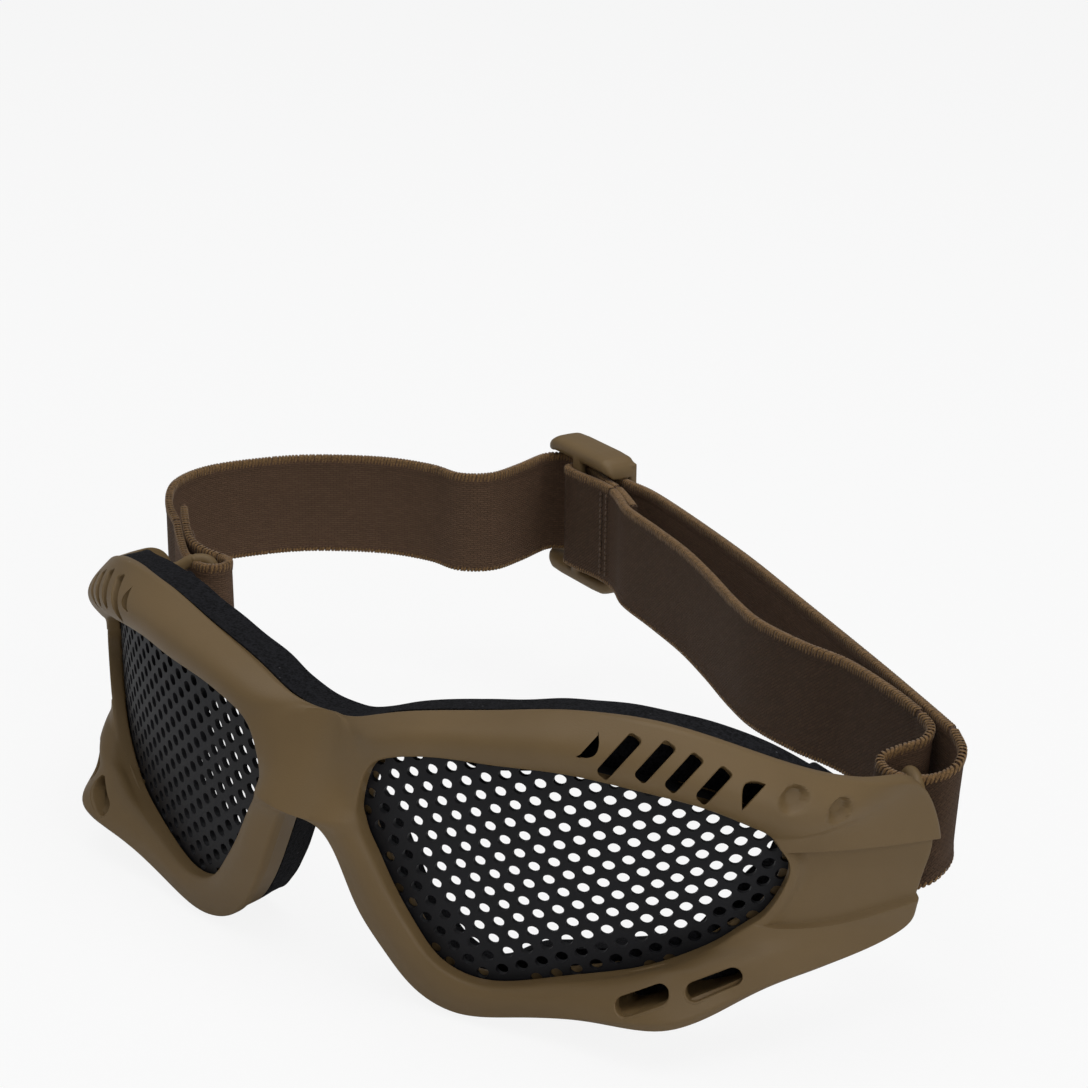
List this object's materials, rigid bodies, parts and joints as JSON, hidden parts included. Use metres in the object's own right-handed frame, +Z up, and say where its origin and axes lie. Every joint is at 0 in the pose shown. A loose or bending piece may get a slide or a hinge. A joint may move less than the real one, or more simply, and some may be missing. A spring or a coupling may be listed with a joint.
{
  "type": "mesh goggles",
  "caption": "Wraparound moulded goggles with a domed perforated metal sheet over each eye, a foam face pad, an elastic webbing strap and a strap slider.",
  "frame": {"origin": "on the plane of symmetry, at mid height, in the upright plane through the rear face of the foam pad at the brow", "axes": "+X to the right of a viewer who faces the front, +Y towards the wearer's head, +Z up"},
  "size_m": [0.1897, 0.1412, 0.0543],
  "materials": {
    "frame_polymer": "matte, finely grained",
    "mesh_metal": "black coating, low sheen",
    "foam": "matte closed foam",
    "webbing": "ribbed elastic weave with overlocked edges",
    "thread": "matte sewing thread",
    "slider_polymer": "matte moulded"
  },
  "bodies": {
    "front": {"frame": "frame_polymer", "strap_bar_left": "frame_polymer", "strap_bar_right": "frame_polymer", "mesh_left": "mesh_metal", "mesh_right": "mesh_metal", "mesh_rim_left": "frame_polymer", "mesh_rim_right": "frame_polymer", "foam_pad": "foam", "left_loop": "webbing", "left_loop_stitching": "thread", "strap_bar_wrap": "webbing"},
    "strap": {"strap_single_run": "webbing", "strap_outer_run": "webbing", "strap_inner_run": "webbing"},
    "adjuster": {"slider": "slider_polymer", "slider_end_loop": "webbing", "slider_stitching": "thread", "strap_tail": "webbing"}
  },
  "joints": [
    {"name": "strap_lift", "type": "hinge", "parent": "front", "child": "strap", "pos_m": [0, 0.0433, 0.0012], "axis": [1, 0, 0], "range_deg": [-12, 12], "stiffness_Nm_per_rad": 0.25, "springref_deg": 1.72, "deforming": ["left_loop", "left_loop_stitching", "strap_bar_wrap"]},
    {"name": "slider_slide", "type": "slide", "parent": "strap", "child": "adjuster", "axis": [0.9397, -0.342, 0], "range_m": [0, 0.012], "deforming": ["strap_inner_run"]}
  ]
}
